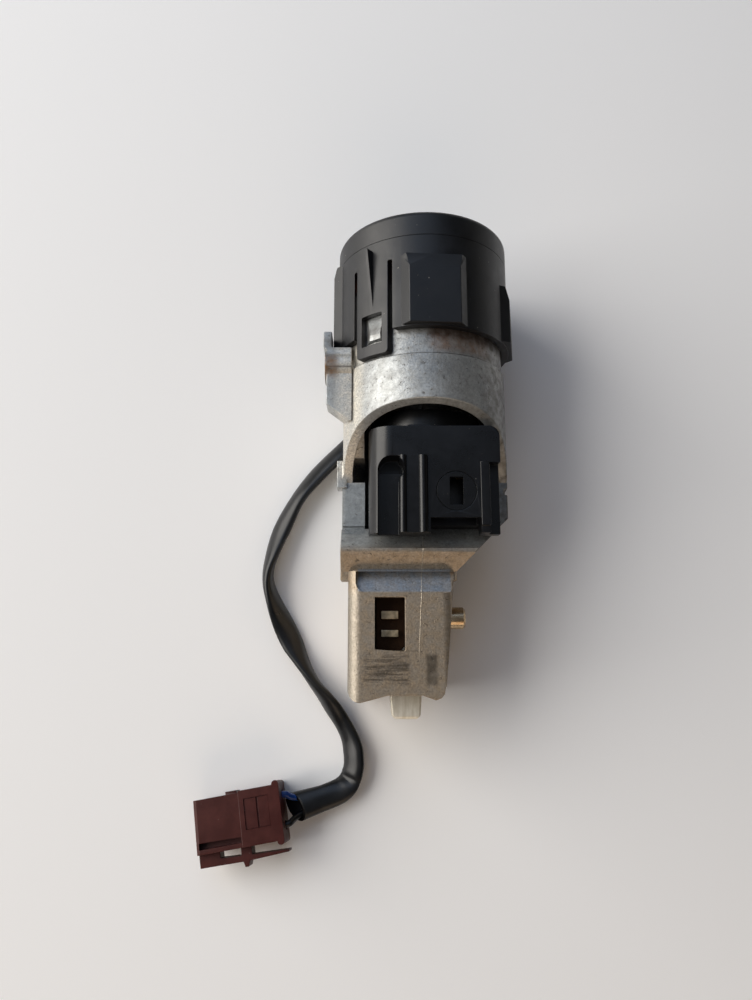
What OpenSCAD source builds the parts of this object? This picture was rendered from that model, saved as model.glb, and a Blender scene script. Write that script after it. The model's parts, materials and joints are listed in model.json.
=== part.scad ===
// Ignition lock: key cylinder, locking bolt, electrical switch and a coil lead with its connector.
// Every piece is drawn about the key axis: z runs toward the key, x to the right, and the front is -y.
// laid() then lays the lock on its back, with the key axis along Y and the front facing up.

/* [Housing] */
// Radius of the housing tube
tube_r = 20; // [19.5:0.25:21]
// Wall of the tube beside the switch
tube_wall = 2.3; // [2:0.1:2.5]
// Length of the shank that holds the bolt
shank_h = 29; // [28.5:0.5:31]
// Width of the shank at its top
shank_w = 24.7; // [24.4:0.1:26]
// How much the right side of the shank leans in
shank_taper = 2.6; // [1.6:0.1:2.8]
// Height of the sloped shelf under the switch
shelf_h = 10.5; // [10:0.25:12]
// Height of the posts beside the switch
post_h = 11.5; // [11:0.25:13]
// Rise of the arched opening above the posts
arch_rise = 15.5; // [14.8:0.1:16.2]
// Radius of the arch seen from the side
arch_r = 33; // [28:1:40]

/* [Collar] */
// Wall of the collar
collar_wall = 1.8; // [1.5:0.1:2]
// Length of the collar below the cap
collar_h = 22.4; // [22:0.1:24]
// How far the flat pads stand out
pad_rise = 0.9; // [0.6:0.1:1.2]
// Width of a pad's flat
pad_w = 11.8; // [10:0.2:12.6]
// Width of a snap tongue
tongue_w = 9.2; // [8.6:0.1:10]
// Height of the cap
cap_h = 6.3; // [5.6:0.1:7]
// Rounding of the cap's edge
cap_round = 1.6; // [1:0.1:2.4]

/* [Key cylinder] */
// Radius of the plug
plug_r = 8; // [7.6:0.1:8.3]
// Width of the keyway
key_w = 2.4; // [2:0.1:2.6]
// Depth of the keyway across the plug
key_h = 9; // [8:0.2:9.4]
// Number of wafers
wafer_count = 8; // [5:1:8]

/* [Bolt] */
// Width of the bolt
bolt_w = 7.3; // [6.8:0.1:7.6]
// Thickness of the bolt
bolt_t = 8; // [7:0.2:8.4]
// How far the bolt stands out when locked
bolt_out = 4.4; // [4:0.1:5]
// How far a full turn of the key draws the bolt in
bolt_travel = 5; // [4.6:0.1:5.4]

/* [Retaining pin] */
// Radius of the pin
pin_r = 2.75; // [2.5:0.05:2.9]
// How far the pin stands out of the shank
pin_out = 5.2; // [4.6:0.1:5.6]

/* [Switch] */
// How far the switch's front stands before the key axis
switch_front = 14.5; // [14:0.1:15]
// Width of the socket in the switch
socket_w = 11.3; // [10.4:0.1:11.6]
// Depth of the socket from front to back
socket_d = 4.9; // [4.6:0.1:5]

/* [Lead] */
// Width of the flat sleeve on the lead
lead_w = 6.2; // [5.6:0.1:6.6]
// Thickness of the flat sleeve
lead_t = 3; // [2.6:0.1:3.2]
// Radius of a wire
wire_r = 0.9; // [0.7:0.05:1]

/* [Hidden] */
$fn = 64;

// Overlap of cutters with what they cut, gap of fixed fits, gap of running fits, gap of loose neighbours
eps = 0.1;
fit = 0.05;
run = 0.08;
loose = 0.3;

// Levels along the key axis
floor_z = shank_h + shelf_h;
post_z = floor_z + post_h;
arch_z = post_z + arch_rise;
step_z = arch_z + 10.5;
bore_top = step_z + 1;
seat_z = bore_top + 1.6;
collar_z = step_z + 6;
cap_z = collar_z + collar_h;
top_z = cap_z + cap_h;
mouth_z = cap_z - 1.4;
neck_z = mouth_z - 9;

// Radii about the key axis
bore_r = tube_r - tube_wall;
neck_r = tube_r - 0.6;
mouth_r = (neck_r + plug_r) / 2 - 0.2;
sleeve_r = mouth_r - 1.5;
passage_r = (sleeve_r + plug_r) / 2 + 0.5;
collar_in = neck_r + fit * 2;
collar_r = collar_in + collar_wall;
pad_r = collar_r + pad_rise;

// Pocket of the switch: left and right walls, flat back
pocket_l = -(tube_r - 5.4);
pocket_r = tube_r - 3.3;
pocket_back = 11;
post_front = 1.5;
web_low = 5.6;
web_back = 1.6;

// Shank: left side, front and back, rounding of its edges
shank_l = -(tube_r - 1.6);
shank_front = 7;
shank_back = pad_r;
shank_round = 3;
shank_lip = 0.4;
brow_h = 5.1;
brow_lean = 22;
shelf_front = shank_front + 0.2;

// Bolt chamber in the shank
bolt_x = -5;
bolt_y = 2;
chamber = [[-12.2, -3.5], [-0.9, 7.5]];
chamber_step = shank_h + 3;
guide = [1.2, 3.2];
carrier_z = 9.1;
carrier_top = 26;
rod = [[-11.9, 3.5], [-8.2, 7.3]];
seat_hole_z = carrier_z + 10.9;
spring_x = -4.6;
spring_r = 2.1;
spring_wire = 0.7;
plate_t = 1.2;
cross_r = 0.8;
cross_up = 2;

// Ribs of the bolt carrier that the window shows, and the window itself
ribs = [[14.1, 15.7], [18.2, 20.1]];
rib_x = [-10.7, -6.7];
window = [[-12.2, 11.1], [-5.3, 23]];

// Helical cam: the finger lies on it, and it turns clockwise seen from the key
key_turn = 105;
cam_r = 8.3;
cam_start = 128;
cam_end = 264;
cam_z = step_z - 10.2;
cam_slope = bolt_travel / key_turn;
finger_x = -4.6;
finger_top_angle = 157;
finger_z = cam_z + 0.8 + cam_slope * (finger_top_angle - cam_start) + loose;
finger_h = 3;
hub_r = 5.2;
hub_top = step_z + 0.3;
tang = [7, 3];
rotor_tang = [6, 2.6];
tang_in = 3;
rotor_r = 6;
rotor_z = post_z - 2;
switch_top = arch_z - 0.5;

// Retaining pin: height along the shank, depth behind the key axis, flange and bore
pin_z = 18.8;
pin_y = 12.5;
pin_side = shank_l + shank_w - shank_taper * (1 - pin_z / shank_h);
pin_guide_r = pin_r + 0.4;
pin_bore_r = pin_r + 1.3;
pin_flange_x = pin_side - 4.6;
pin_flange_t = 1.2;
pin_nose_bevel = 0.5;
pin_end = pin_flange_x - 9.4;

// Screw lug on the left
lug_y = -7;
lug_z = step_z + 1.2;
lug_r = 4.1;
lug_reach = tube_r + 4.5;
lug_hole_r = 2.1;
lug_hole_l = 6.4;

// Collar pads: angle from the front, positive to the right, and how far below the cap the full rise ends
pads = [[4, 8.3], [78, 11.1], [180, 8.3], [268, 2.6]];
pad_slope = 3.4;
pad_bevel = 1.8;
tongue_angles = [-38, 142];
tongue_slot = 1;
tongue_round = 1;
fin_t = 0.8;
fin_rise = 2.1;

// Lead clip on the back of the tube, with the slanted face that the lead leaves
clip = [[-12, step_z - 5.9], [3, step_z + 4.9]];
clip_cut = [4.8, 5.8];
clip_floor = 16.5;
clip_back = pad_r - 0.2;

// Place of the key axis, so that the box of the lock is centred and its back lies on the floor
pad_reach = pad_r * sin(pads[1][0]) + pad_w / 2 * cos(pads[1][0]);
axis_x = (lug_reach - pad_reach) / 2;
axis_y = (bolt_out - top_z) / 2;
axis_z = pad_r;

// Route of the lead from its clip: steps right and up in plan, height of the centre, roll of the flat sleeve
lead_exit = [axis_x + clip[0][0] + clip_cut[0] / 2, axis_y + clip[0][1] + clip_cut[1] / 2];
lead_route = [
    [0, 0, 1.8, 0], [-6.2, -5.2, 2, 20], [-12, -10, 2.4, 40], [-18.5, -16.5, 2.5, 45],
    [-23.5, -23, 2.7, 54], [-27.5, -31, 2.5, 41], [-30, -38, 2.9, 60], [-31, -44, 3.2, 80],
    [-29.5, -50, 3.1, 69], [-25, -60, 2.2, 28], [-19, -70.5, 2.8, 58], [-14.8, -76, 2.7, 51],
    [-11.3, -81, 2, 25], [-9, -85.3, 2, 25], [-8, -89.6, 2.3, 37], [-8.2, -93.4, 2.3, 35],
    [-10, -97, 2.4, 25], [-14.2, -99.2, 2.9, 10], [-22.8, -101.7, 4, 10]
];

// Connector: place of its rear face from the lead's exit, turn in plan, roll onto its rib, main sizes
connector_at = [-25.2, -96.5];
connector_turn = 190;
connector_roll = 10;
connector_l = 22;
connector_w = 12.7;
connector_h = 9.5;
flange_out = 0.9;
flange = [0.7, 2.4];
wire_v = [2.6, 9.6];
wire_h = 4.6;

zinc = [0.72, 0.71, 0.68];
black = [0.13, 0.13, 0.14];
steel = [0.6, 0.6, 0.6];
brass = [0.75, 0.6, 0.3];
brown = [0.33, 0.2, 0.19];

// Shapes that repeat

module laid() translate([axis_x, axis_y, axis_z]) rotate([-90, 0, 0]) children();

module box(low, high) translate(low) cube(high - low);

module ring(r_out, r_in, h) difference() {
    cylinder(r = r_out, h = h);
    translate([0, 0, -eps]) cylinder(r = r_in, h = h + 2 * eps);
}

// Side profile in y and z, drawn out along x
module along_x(x0, x1) translate([x0, 0, 0]) rotate([90, 0, 90]) linear_extrude(x1 - x0) children();

// Front outline in x and z, drawn out along y
module along_y(y0, y1) translate([0, y1, 0]) rotate([90, 0, 0]) linear_extrude(y1 - y0) children();

module round_rod_x(x0, x1, r, y, z) translate([x0, y, z]) rotate([0, 90, 0]) cylinder(r = r, h = x1 - x0);

module rounded(low, high, r) {
    translate(low + [r, 0]) square([high[0] - low[0] - 2 * r, high[1] - low[1]]);
    translate(low + [0, r]) square([high[0] - low[0], high[1] - low[1] - 2 * r]);
    for (x = [low[0] + r, high[0] - r], y = [low[1] + r, high[1] - r]) translate([x, y]) circle(r);
}

// Skin over a row of rings that all have as many points
module skin(rings) {
    n = len(rings[0]);
    last = (len(rings) - 1) * n;
    polyhedron(
        points = [for (r = rings) each r],
        faces = [
            [for (j = [0 : n - 1]) j],
            [for (j = [0 : n - 1]) last + n - 1 - j],
            for (i = [0 : len(rings) - 2], j = [0 : n - 1])
                [i * n + j, i * n + n + j, i * n + n + (j + 1) % n, i * n + (j + 1) % n]
        ]
    );
}

// Coil spring along z
module coil(mean_r, thick, length, turns, steps = 12, sides = 6) {
    skin([
        for (i = [0 : turns * steps])
            let (a = 360 * i / steps, z = thick / 2 + (length - thick) * i / (turns * steps))
                [for (j = [0 : sides - 1])
                    let (t = 360 * j / sides, r = mean_r + thick / 2 * cos(t))
                        [r * cos(a), r * sin(a), z - thick / 2 * sin(t)]]
    ]);
}

function heading(p, i) =
    let (a = p[max(i - 1, 0)], b = p[min(i + 1, len(p) - 1)], d = [b[0] - a[0], b[1] - a[1]]) d / norm(d);

// Elliptical ring about a route point, across its heading and rolled
function flat_ring(at, d, roll, w, t, sides) = [
    for (j = [0 : sides - 1])
        let (
            a = 360 * j / sides,
            side = w / 2 * cos(a) * cos(roll) - t / 2 * sin(a) * sin(roll),
            up = w / 2 * cos(a) * sin(roll) + t / 2 * sin(a) * cos(roll)
        ) [at[0] - d[1] * side, at[1] + d[0] * side, at[2] + up]
];

// Housing

// What the arched opening takes away, smaller by a gap
module arch_cut(gap = 0) {
    front = [-tube_r, arch_z];
    foot = [-post_front, post_z];
    chord = foot - front;
    half = norm(chord) / 2;
    out = [chord[1], -chord[0]] / norm(chord);
    centre = (front + foot) / 2 + out * sqrt(arch_r * arch_r - half * half);
    intersection() {
        round_rod_x(-2 * tube_r, 2 * tube_r, arch_r - gap, centre[0], centre[1]);
        box([-2 * tube_r, -3 * tube_r, post_z - gap], [2 * tube_r, tube_r, 2 * arch_z]);
    }
    box([-2 * tube_r, -2 * tube_r, floor_z - 2 * eps], [2 * tube_r, -post_front - gap, post_z]);
}

// Web inside the arch on the left, set back from its rim and larger by a gap
module arch_web(gap) difference() {
    box([-tube_r, -tube_r, post_z + web_low - gap], [pocket_l + gap, tube_r, arch_z]);
    arch_cut(gap - web_back);
}

// Pocket and bore of the switch, smaller by a gap
module switch_space(gap = 0, top = bore_top) difference() {
    intersection() {
        translate([0, 0, floor_z]) cylinder(r = bore_r - gap, h = top - floor_z);
        union() {
            box([-tube_r, -tube_r, post_z], [tube_r, pocket_back - gap, top]);
            box([pocket_l + gap, -tube_r, floor_z], [pocket_r - gap, pocket_back - gap, post_z + eps]);
        }
    }
    arch_web(gap);
}

module tube() difference() {
    union() {
        translate([0, 0, shank_h]) cylinder(r = tube_r, h = step_z - shank_h);
        translate([0, 0, step_z - eps]) cylinder(r = neck_r, h = neck_z - step_z + eps);
        translate([0, 0, neck_z - eps]) cylinder(r = mouth_r, h = mouth_z - neck_z + eps);
    }
    box([-2 * tube_r, -2 * tube_r, 0], [2 * tube_r, 0, floor_z - eps]);
    arch_cut();
}

// Sloped shelf: falls toward the front, then turns in under its lip
module shelf() intersection() {
    along_x(-tube_r - 0.2, tube_r - 0.6) polygon([
        [tube_r, shank_h], [tube_r, floor_z], [-post_front - 0.5, floor_z], [-shelf_front, floor_z - 5.2],
        [-shelf_front, floor_z - 6.1], [-shank_front + 2.4, shank_h], [-shank_front + 2.4, shank_h - 2],
        [0, shank_h - 2], [0, shank_h]
    ]);
    union() {
        cylinder(r = tube_r + 0.2, h = arch_z);
        box([-tube_r - 0.2, -tube_r, 0], [tube_r, 0, arch_z]);
    }
}

module posts() intersection() {
    cylinder(r = tube_r + 0.1, h = arch_z);
    union() {
        box([-tube_r - 1, -post_front, floor_z - eps], [pocket_l, 8, post_z]);
        box([pocket_r, -post_front, floor_z - eps], [tube_r, 8, post_z]);
    }
}

// What the shank's lower end loses: a round left corner, a hollow about the bolt, an eased right corner
module shank_end() along_y(-2 * tube_r, 2 * tube_r) {
    right = shank_l + shank_w - shank_taper;
    corner = [shank_l + shank_round, shank_round - shank_lip];
    difference() {
        translate([shank_l - 1, -2]) square([1 + shank_round, 2 + corner[1]]);
        translate(corner) circle(shank_round);
    }
    polygon([
        [corner[0], -2], [corner[0], -shank_lip], [bolt_x - 4.2, guide[0]], [bolt_x + 3.6, guide[0]],
        [right - 2.2, 0.2], [right - 1, 0.6], [right - 0.2, 1.6], [right + 0.1, 3.2], [right + 3, 3.2],
        [right + 3, -2]
    ]);
}

module shank() difference() {
    translate([0, 0, -shank_lip]) linear_extrude(shank_h + shank_lip + eps)
        rounded([shank_l, -shank_front], [shank_l + shank_w, shank_back], shank_round);
    translate([shank_l + shank_w, 0, shank_h]) rotate([0, atan(shank_taper / shank_h), 0])
        box([0, -2 * tube_r, -2 * shank_h], [tube_r, 2 * tube_r, eps]);
    along_x(-2 * tube_r, tube_r) polygon([
        [shank_back - 2.2, shank_h + 1], [shank_back + 1, shank_h + 1], [shank_back + 1, shank_h - 3.2],
        [shank_back, shank_h - 3.2], [shank_back - 2.2, shank_h - 1]
    ]);
    shank_end();
}

module lug() {
    along_y(lug_y - 3.2, lug_y + 3.2) polygon([
        [-bore_r, lug_z - 14], [-tube_r + 1.6, lug_z - 14], [-lug_reach + 0.8, lug_z - 10],
        [-lug_reach + 0.8, collar_z - 1.4], [-lug_reach, collar_z - 0.4], [-lug_reach, collar_z + 3.4],
        [-pad_r - loose, collar_z + 3.4], [-pad_r - loose, collar_z - 0.6], [-bore_r, collar_z - 0.6]
    ]);
    round_rod_x(-lug_reach + 0.4, -bore_r, lug_r, lug_y, lug_z);
}

// Wedge that holds a snap tongue of the collar, its left side falling away
module catches() for (a = tongue_angles) rotate([0, 0, a]) difference() {
    along_x(-2.4, 2.4) polygon([
        [-neck_r + 0.6, collar_z + 4.2], [-neck_r - 0.2, collar_z + 4.2], [-collar_r + 0.4, collar_z - 0.4],
        [-collar_r + 0.6, collar_z - 1.6], [-neck_r + 0.6, collar_z - 1.6]
    ]);
    translate([-0.4, -collar_r + 0.4, collar_z]) rotate([0, 14, -38]) box([-6, -6, -6], [0, 0, 6]);
}

// Slanted pocket between the shelf and the window, with round lower corners
module brow_pocket() intersection() {
    translate([0, -shank_front + 0.5, shank_h - brow_h]) rotate([-brow_lean, 0, 0])
        along_y(-8, 0) rounded([shank_l + 1.8, 0], [shank_l + shank_w - 0.1, 12], 2.4);
    box([-tube_r, -tube_r, 0], [tube_r, tube_r, shank_h]);
}

module bolt_chamber() {
    box([chamber[0][0], chamber[0][1], -1], [chamber[1][0], chamber[1][1], chamber_step]);
    box([chamber[0][0], -1, chamber_step - eps], [chamber[1][0], chamber[1][1], floor_z + eps]);
    box([rod[1][0] + 0.6, -2, floor_z - plate_t], [1.6, chamber[1][1] + 1, floor_z + eps]);
}

module shank_window()
    box([window[0][0], -shank_front - 1, window[0][1]], [window[1][0], chamber[0][1] + eps, window[1][1]]);

module lock_body() color(zinc) laid() difference() {
    union() {
        tube();
        shelf();
        posts();
        shank();
        lug();
        catches();
        box([-tube_r - 1.4, -2, post_z - 1.4], [-tube_r + 1, 2.4, post_z + 5.4]);
    }
    switch_space();
    translate([0, 0, bore_top - eps]) cylinder(r = passage_r, h = seat_z - bore_top + 2 * eps);
    translate([0, 0, seat_z]) cylinder(r = sleeve_r + fit, h = mouth_z);
    along_y(-2 * tube_r, 2 * tube_r) polygon([
        [shank_l + shank_w + 0.7, -1], [shank_l + shank_w + 0.7, shank_h + 0.2],
        [2 * tube_r, shank_h + 0.2 + 2 * tube_r - (shank_l + shank_w + 0.7)], [2 * tube_r, -1]
    ]);
    brow_pocket();
    bolt_chamber();
    shank_window();
    round_rod_x(pin_end, tube_r, pin_bore_r, pin_y, pin_z);
    round_rod_x(-lug_reach - 1, -lug_reach + 0.4 + lug_hole_l, lug_hole_r, lug_y, lug_z);
    box([clip[0][0] - 0.1, clip_floor, clip[0][1] - 0.1], [clip[1][0] + 0.1, 2 * tube_r, clip[1][1] + 0.1]);
    box(
        [coil_wire_x[0] - 0.9, neck_r - 3 * coil_wire_r, clip[1][1]],
        [coil_wire_x[1] + 0.9, tube_r, neck_z + eps]
    );
    rotate([0, 0, -60]) translate([0, 0, neck_z - 8]) round_rod_x(sleeve_r - 2, tube_r, 1.25 + fit, 0, 0);
    box([-tube_r - 1, -3, floor_z - 0.1], [pocket_l + 0.1, -0.9, floor_z + 0.8]);
    box([tube_r - 0.9, -3, post_z - 3], [tube_r + 1, 2, post_z - 1.6]);
}

// Collar, cap and coil

module tongue_window(half, low, high) box([-half, -collar_r - 2, low], [half, -collar_in + 1, high]);

// Everything below the collar's lower edge except the tongues
module below_collar() difference() {
    translate([0, 0, step_z - 1]) cylinder(r = 2 * tube_r, h = collar_z - step_z + 1);
    for (a = tongue_angles) rotate([0, 0, a]) along_y(-3 * tube_r, 0)
        rounded([-tongue_w / 2, step_z + 0.5], [tongue_w / 2, collar_z + 3], tongue_round);
}

// Flat pad with bevelled sides and a sloped top
module pad(full_z) intersection() {
    translate([0, 0, collar_z]) linear_extrude(collar_h) polygon([
        [-pad_w / 2 - pad_bevel, -collar_r + 1.6], [pad_w / 2 + pad_bevel, -collar_r + 1.6],
        [pad_w / 2, -pad_r], [-pad_w / 2, -pad_r]
    ]);
    along_x(-tube_r, tube_r) polygon([
        [-collar_r + 2, collar_z + 0.4], [-pad_r - pad_rise, collar_z + 0.4],
        [-pad_r - pad_rise, full_z - pad_slope], [-collar_r, full_z + pad_slope],
        [-collar_r + 2, full_z + pad_slope]
    ]);
}

// Fin on a tongue, highest toward the cap
module fin() translate([0.2, 0, 0]) along_x(-fin_t / 2, fin_t / 2) polygon([
    [-collar_r + 0.6, collar_z + 6.2], [-collar_r, collar_z + 6.2], [-collar_r - fin_rise, cap_z - 2.4],
    [-collar_r - fin_rise, cap_z - 2], [-collar_r + 0.6, cap_z - 2]
]);

module collar() color(black) laid() difference() {
    union() {
        translate([0, 0, step_z]) ring(collar_r, collar_in, cap_z - step_z);
        for (p = pads) rotate([0, 0, p[0]]) pad(cap_z - p[1]);
        for (a = tongue_angles) rotate([0, 0, a]) fin();
    }
    below_collar();
    for (a = tongue_angles) rotate([0, 0, a]) {
        for (s = [-1, 1]) translate([s * (tongue_w + tongue_slot) / 2, 0, 0])
            tongue_window(tongue_slot / 2, step_z, cap_z - 5.4);
        tongue_window(2.9, step_z + 3.2, collar_z + 4.6);
    }
}

module cap() color(black) laid() translate([0, 0, cap_z]) {
    rotate_extrude() difference() {
        union() {
            square([collar_r - cap_round, cap_h]);
            square([collar_r, cap_h - cap_round]);
            translate([collar_r - cap_round, cap_h - cap_round]) circle(cap_round);
            translate([0, -1.2]) square([collar_in - fit, 1.2 + eps]);
        }
        translate([-1, -2]) square([plug_r + loose + 1, cap_h + 3]);
        translate([-1, -2]) square([collar_in - 1.6, 2]);
        translate([-1, cap_h - 0.6]) square([collar_r - cap_round - 3, 1]);
    }
}

bobbin_wall = 1;
winding_rim = 0.9;
coil_wire_r = 0.55;
coil_wire_x = [-3.7, -2.3];

module coil_bobbin() color([0.2, 0.2, 0.21]) laid() translate([0, 0, neck_z]) difference() {
    ring(collar_in - 2 * eps, mouth_r + fit, mouth_z - neck_z);
    translate([0, 0, bobbin_wall]) ring(collar_in, mouth_r + bobbin_wall, mouth_z - neck_z - 2 * bobbin_wall);
}

module coil_winding() color([0.62, 0.32, 0.16]) laid() translate([0, 0, neck_z + bobbin_wall])
    ring(collar_in - winding_rim, mouth_r + bobbin_wall, mouth_z - neck_z - 2 * bobbin_wall);

module coil_wires() color([0.62, 0.32, 0.16]) laid()
    for (x = coil_wire_x) translate([x, neck_r - 2 * coil_wire_r, clip[1][1]])
        cylinder(r = coil_wire_r, h = neck_z - clip[1][1]);

module lead_clip() color(black) laid() along_y(clip_floor, clip_back) polygon([
    [clip[0][0], clip[1][1]], clip[1], [clip[1][0], clip[0][1]],
    [clip[0][0] + clip_cut[0], clip[0][1]], [clip[0][0], clip[0][1] + clip_cut[1]]
]);

// Key cylinder

wafer_pitch = 2.7;
wafer_low = mouth_z - 1.4 - (wafer_count - 1) * wafer_pitch;
wafer_t = 0.8;
wafer_w = 5.2;
tail_r = plug_r - 1;
clip_ring_z = bore_top + 0.5;

module lock_sleeve() color(brass) laid() difference() {
    translate([0, 0, seat_z]) cylinder(r = sleeve_r, h = mouth_z - seat_z);
    translate([0, 0, seat_z - eps]) cylinder(r = plug_r + fit, h = mouth_z);
    box(
        [-wafer_w / 2 - 0.2, -plug_r - 1.6, wafer_low - 1.2],
        [wafer_w / 2 + 0.2, plug_r + 1.6, mouth_z - 0.4]
    );
    rotate([0, 0, -60]) translate([0, 0, neck_z - 8]) round_rod_x(sleeve_r - 1.6, tube_r, 1.25 + fit, 0, 0);
}

module sleeve_pin() color(steel) laid() rotate([0, 0, -60]) translate([0, 0, neck_z - 8])
    round_rod_x(sleeve_r - 1.6, neck_r - 0.2, 1.25, 0, 0);

module keyway(w, h, low, high) box([-w / 2, -h / 2, low], [w / 2, h / 2, high]);

module plug() color(brass) laid() difference() {
    union() {
        translate([0, 0, seat_z + fit]) cylinder(r = plug_r, h = top_z - 1.2 - seat_z - fit);
        translate([0, 0, bore_top - 0.4]) cylinder(r = tail_r, h = seat_z - bore_top + 1);
        box([-tang[0] / 2, -tang[1] / 2, bore_top - 3.5], [tang[0] / 2, tang[1] / 2, bore_top]);
    }
    keyway(key_w, key_h, seat_z + 2, top_z);
    for (i = [0 : wafer_count - 1])
        box(
            [-wafer_w / 2 - fit, -plug_r - 1, wafer_low + i * wafer_pitch - fit],
            [wafer_w / 2 + fit, plug_r + 1, wafer_low + i * wafer_pitch + wafer_t + fit]
        );
    translate([0, 0, clip_ring_z]) ring(plug_r, tail_r - 0.8, 1);
}

module plug_face() color(steel) laid() difference() {
    translate([0, 0, top_z - 1.2]) cylinder(r = plug_r - 0.1, h = 0.6);
    keyway(key_w + 0.2, key_h + 0.2, top_z - 2, top_z);
}

module wafers() color(brass) laid() intersection() {
    cylinder(r = plug_r - 0.1, h = top_z);
    for (i = [0 : wafer_count - 1]) translate([0, 0, wafer_low + i * wafer_pitch]) difference() {
        box([-wafer_w / 2, -plug_r, 0], [wafer_w / 2, plug_r, wafer_t]);
        keyway(key_w + 0.4, key_h - 1, -1, 2);
    }
}

module circlip() color(steel) laid() translate([0, 0, clip_ring_z + 0.1]) difference() {
    ring(passage_r - 0.9, tail_r - 0.75, 0.8);
    box([-3, 0, -1], [3, plug_r + 3, 2]);
}

// Sector with a helical top, from the hub to the cam radius
module cam() {
    steps = 18;
    skin([
        for (i = [0 : steps])
            let (
                a = cam_start + (cam_end - cam_start) * i / steps,
                h = cam_z + 0.8 + cam_slope * (a - cam_start)
            )
                [
                    for (p = [[hub_r - 0.6, cam_z], [hub_r - 0.6, h], [cam_r, h], [cam_r, cam_z]])
                        [p[0] * cos(a), p[0] * sin(a), p[1]]
                ]
    ]);
}

module driver() color(steel) laid() difference() {
    union() {
        translate([0, 0, switch_top + 0.2]) cylinder(r = hub_r, h = hub_top - switch_top - 0.2);
        cam();
        box(
            [-rotor_tang[0] / 2, -rotor_tang[1] / 2, switch_top - tang_in],
            [rotor_tang[0] / 2, rotor_tang[1] / 2, switch_top + 1]
        );
    }
    box(
        [-tang[0] / 2 - fit, -tang[1] / 2 - fit, bore_top - 3.5 - fit],
        [tang[0] / 2 + fit, tang[1] / 2 + fit, hub_top + 1]
    );
}

// Switch

switch_l = pocket_l + 1;
switch_r = pocket_r - 0.4;
socket_x = 0.3;
socket_top = floor_z + 15.5;
socket_back = switch_front - 1.6 - socket_d;
skirt_z = floor_z - 2.6;
wall_low = floor_z + 0.9;
block_top = floor_z + 22.1;
block_round = 5.5;
block_corner = 2.4;
block_rib = [[-4.6, 0.6], [1, 1.8]];
crown_r = 13.2;
stud_at = [socket_x + socket_w / 2 + 0.3, floor_z + 6.9];
stud_r = 4.5;
stud_t = 0.8;
stud_slot = [3, 6.4];
rail_x = [[-6.6, -5], [-2.3, -0.2]];
rail_top = floor_z + 15;
rail_out = 1.2;
side_groove = 2.6;
hollow_round = 3;
hollow_leg = 2.1;
hollow_step = floor_z + 11.8;

// Keeps the switch clear of the tube's wall above the arch
module tube_wall_room() difference() {
    translate([0, 0, floor_z]) ring(2 * tube_r, bore_r - loose, arch_z);
    arch_cut(loose);
}

module switch_block() difference() {
    union() {
        translate([0, 0, skirt_z]) linear_extrude(block_top - skirt_z) {
            translate([switch_l + block_round, -switch_front])
                square([switch_r - switch_l - block_round, block_round + eps]);
            translate([switch_l, -switch_front + block_round]) square([switch_r - switch_l, eps]);
            translate([switch_l, -switch_front] + [block_round, block_round]) circle(block_round);
        }
        box([switch_l, -switch_front + block_round, floor_z], [switch_r, pocket_back, block_top]);
    }
    tube_wall_room();
    along_y(-2 * tube_r, tube_r) translate([switch_r - block_corner, block_top - block_corner])
        difference() {
            square(block_corner + 1);
            circle(block_corner);
        }
    box([-tube_r, -post_front - loose, 0], [tube_r, tube_r, floor_z]);
    difference() {
        box([-2 * tube_r, -post_front - loose, 0], [2 * tube_r, 2 * tube_r, post_z]);
        switch_space(loose);
    }
    box([-tube_r, -switch_front + 6.6, 0], [tube_r, tube_r, floor_z]);
}

// Rails that guide the mating plug, and a thin rib on the block's top
module rails() {
    for (x = rail_x) translate([0, 0, skirt_z]) linear_extrude(rail_top - skirt_z) {
        r = (x[1] - x[0]) / 2;
        translate([x[0] + r, -switch_front - rail_out + r]) circle(r);
        translate([x[0], -switch_front - rail_out + r]) square([2 * r, rail_out - r + 1]);
    }
    box(
        [block_rib[0][0], -switch_front + block_rib[1][0], block_top - eps],
        [block_rib[0][1], -switch_front + block_rib[1][1], block_top + 0.5]
    );
    box(
        [rail_x[0][1] - eps, -switch_front - 0.5, skirt_z],
        [rail_x[1][0] + eps, -switch_front + 1, rail_top]
    );
    box(
        [socket_x + socket_w, -switch_front - 0.7, skirt_z + 1.6],
        [switch_r - side_groove, -switch_front + 1, floor_z + 13.5]
    );
}

// Hollow in the lower left of the block, deeper above its step
module corner_hollow() {
    left = switch_l + hollow_leg;
    width = rail_x[0][0] - left;
    for (cut = [[0, 4.2], [hollow_step, 5.6]]) along_y(-2 * tube_r, -switch_front + cut[1]) intersection() {
        union() {
            translate([left, 0]) square([width, rail_top - hollow_round]);
            translate([left + hollow_round, 0]) square([width - hollow_round, rail_top]);
            translate([left + hollow_round, rail_top - hollow_round]) circle(hollow_round);
        }
        translate([-tube_r, cut[0]]) square([2 * tube_r, rail_top]);
    }
}

module switch_housing() color(black) laid() difference() {
    union() {
        switch_block();
        intersection() {
            switch_space(loose, switch_top);
            translate([0, 0, post_z]) cylinder(r = crown_r, h = switch_top - post_z);
        }
        rails();
    }
    box([-tube_r, rod[0][1] - loose, 0], [rod[1][0] + loose, tube_r, arch_z + 1]);
    translate([0, 0, rotor_z]) cylinder(r = rotor_r + run, h = arch_z);
    translate([0, 0, rotor_z - 1.4]) cylinder(r = rotor_r + run, h = 2);
    box(
        [socket_x, -socket_back - socket_d, 0],
        [socket_x + socket_w, -socket_back, socket_top]
    );
    box([socket_x, -2 * tube_r, 0], [socket_x + socket_w, -socket_back, wall_low]);
    corner_hollow();
    box([switch_r - side_groove, -2 * tube_r, 0], [switch_r + 1, -switch_front + 3, floor_z + 13.5]);
    translate([stud_at[0], -switch_front + stud_t + eps, stud_at[1]]) {
        rotate([90, 0, 0]) cylinder(r = stud_r, h = 5);
        slot_through();
    }
}

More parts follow.
